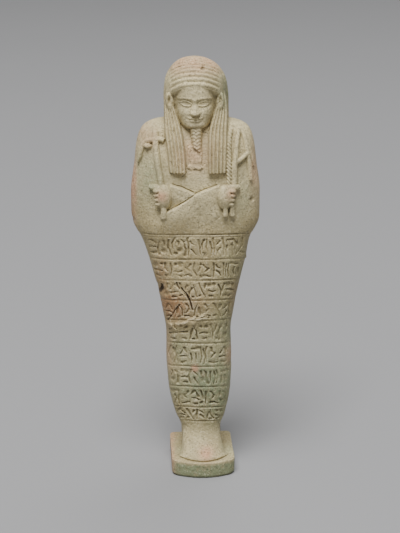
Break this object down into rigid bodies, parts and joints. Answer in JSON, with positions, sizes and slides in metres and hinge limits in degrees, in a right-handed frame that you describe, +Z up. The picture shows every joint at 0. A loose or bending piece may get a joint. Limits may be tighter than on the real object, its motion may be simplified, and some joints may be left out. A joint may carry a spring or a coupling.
{
  "type": "ushabti figurine",
  "caption": "Standing mummy-shaped faience servant figurine with wig, plaited beard, crossed arms, tools and ruled rows of strokes.",
  "frame": {"origin": "centre of the plinth's underside", "axes": "+Z up, -Y the way the face and toes point, +X the figure's left side"},
  "size_m": [0.0672, 0.0432, 0.2248],
  "materials": {
    "faience": "worn, satin, pale beige-green Egyptian faience, finely pitted, with pinkish wear and brown dirt in the cuts"
  },
  "bodies": {
    "root": {"figurine": "faience"}
  },
  "joints": []
}
